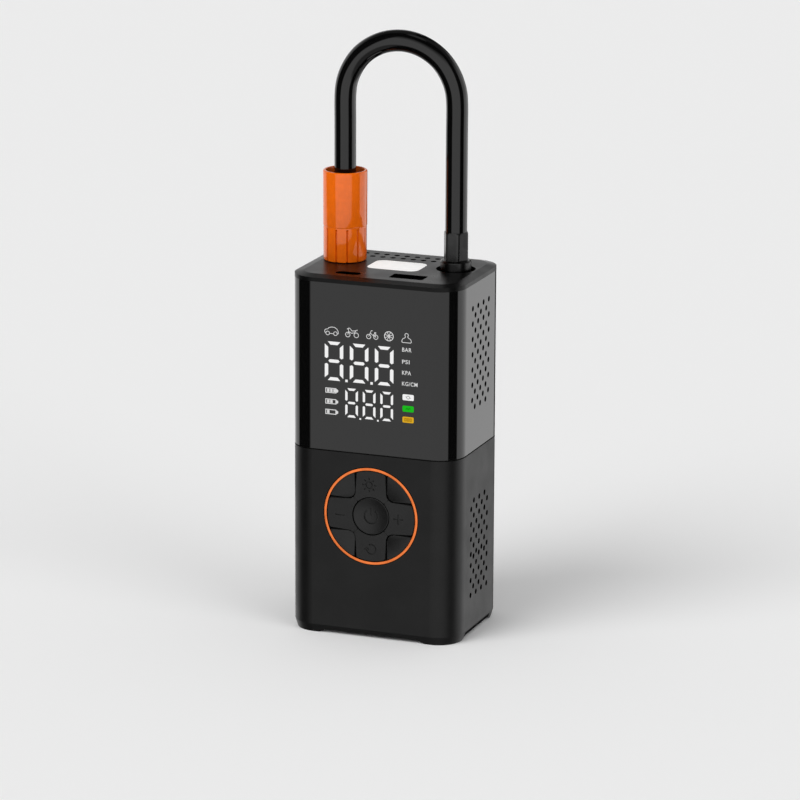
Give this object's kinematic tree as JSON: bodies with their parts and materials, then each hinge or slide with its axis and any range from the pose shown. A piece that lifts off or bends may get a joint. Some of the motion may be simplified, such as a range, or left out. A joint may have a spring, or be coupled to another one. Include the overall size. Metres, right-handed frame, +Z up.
{
  "type": "portable tire inflator",
  "caption": "Cordless tire inflator: two-part rounded case with display, cross keypad in a ring, top lamp and ports, and a looped hose with a screw-on valve chuck.",
  "frame": {"origin": "on the ground under the middle of the body", "axes": "+Z up, -Y towards the keypad and display, +X towards the hose fitting"},
  "size_m": [0.07, 0.0532, 0.2352],
  "materials": {
    "matte_case": "fine matte moulded texture",
    "base_plastic": "matte",
    "screw_steel": "black oxide",
    "frame_plastic": "matte",
    "gloss_case": "smoked gloss",
    "cover_plastic": "satin",
    "lamp_lens": "frosted",
    "circuit_board": "solder mask",
    "socket_metal": "bright nickel",
    "fitting_metal": "black anodised",
    "keypad_plastic": "soft matte",
    "ring_orange": "satin",
    "inner_plastic": "matte",
    "display_block": "matte",
    "cell_wrap": "shrink wrap",
    "cast_frame": "die cast",
    "motor_steel": "zinc plated",
    "pinion_brass": "machined brass",
    "gear_steel": "sintered",
    "line_rubber": "silicone",
    "hose_rubber": "satin",
    "chuck_orange": "satin anodised",
    "core_brass": "machined brass",
    "socket_brass": "machined",
    "piston_alloy": "machined"
  },
  "bodies": {
    "case": {"lower_housing": "matte_case", "base_cover": "base_plastic", "base_screws": "screw_steel", "joining_frame": "frame_plastic", "upper_sleeve": "gloss_case", "top_cover": "cover_plastic", "lamp_lens": "lamp_lens", "lamp_board": "circuit_board", "usb_a_socket": "socket_metal", "usb_c_socket": "socket_metal", "port_board": "circuit_board", "storage_post": "frame_plastic", "outlet_socket": "socket_brass", "keypad_bezel": "keypad_plastic", "button_ring": "ring_orange", "key_guide": "inner_plastic", "key_board": "circuit_board", "display_module": "display_block", "display_board": "circuit_board", "main_board": "circuit_board", "battery_holder": "inner_plastic", "battery_cells": "cell_wrap", "pump_frame": "cast_frame", "motor": "motor_steel", "motor_screws": "screw_steel", "pump_cylinder": "cast_frame", "cylinder_head": "cast_frame", "head_screws": "screw_steel", "pressure_sensor": "frame_plastic", "air_line": "line_rubber", "hose_fitting": "fitting_metal", "air_hose": "hose_rubber", "chuck_core": "core_brass", "chuck_seal": "line_rubber"},
    "power_key_body": {"power_button": "keypad_plastic"},
    "light_key_body": {"light_key": "keypad_plastic"},
    "plus_key_body": {"plus_key": "keypad_plastic"},
    "mode_key_body": {"mode_key": "keypad_plastic"},
    "minus_key_body": {"minus_key": "keypad_plastic"},
    "pinion": {"motor_pinion": "pinion_brass"},
    "crank": {"crank_gear": "gear_steel"},
    "piston": {"piston_rod": "piston_alloy"},
    "chuck": {"chuck_sleeve": "chuck_orange"}
  },
  "joints": [
    {"name": "power_press", "type": "slide", "parent": "case", "child": "power_key_body", "axis": [0, 1, 0], "range_m": [0, 0.0006], "stiffness_N_per_m": 2500, "springref_m": -0.0004},
    {"name": "light_press", "type": "slide", "parent": "case", "child": "light_key_body", "axis": [0, 1, 0], "range_m": [0, 0.0006], "stiffness_N_per_m": 2500, "springref_m": -0.0004},
    {"name": "plus_press", "type": "slide", "parent": "case", "child": "plus_key_body", "axis": [0, 1, 0], "range_m": [0, 0.0006], "stiffness_N_per_m": 2500, "springref_m": -0.0004},
    {"name": "mode_press", "type": "slide", "parent": "case", "child": "mode_key_body", "axis": [0, 1, 0], "range_m": [0, 0.0006], "stiffness_N_per_m": 2500, "springref_m": -0.0004},
    {"name": "minus_press", "type": "slide", "parent": "case", "child": "minus_key_body", "axis": [0, 1, 0], "range_m": [0, 0.0006], "stiffness_N_per_m": 2500, "springref_m": -0.0004},
    {"name": "crank_spin", "type": "hinge", "parent": "case", "child": "crank", "pos_m": [0, 0.002, 0.0387], "axis": [1, 0, 0], "continuous": true},
    {"name": "pinion_spin", "type": "hinge", "parent": "case", "child": "pinion", "pos_m": [0, 0.002, 0.0195], "axis": [1, 0, 0], "continuous": true},
    {"name": "piston_stroke", "type": "slide", "parent": "case", "child": "piston", "axis": [0, 0, 1], "range_m": [-0.01, 0]},
    {"name": "chuck_turn", "type": "hinge", "parent": "case", "child": "chuck", "pos_m": [-0.023, 0.0047, 0.161], "axis": [0, 0, 1], "continuous": true}
  ],
  "couplings": [
    {"joint": "pinion_spin", "follows": "crank_spin", "ratio": -3}
  ]
}
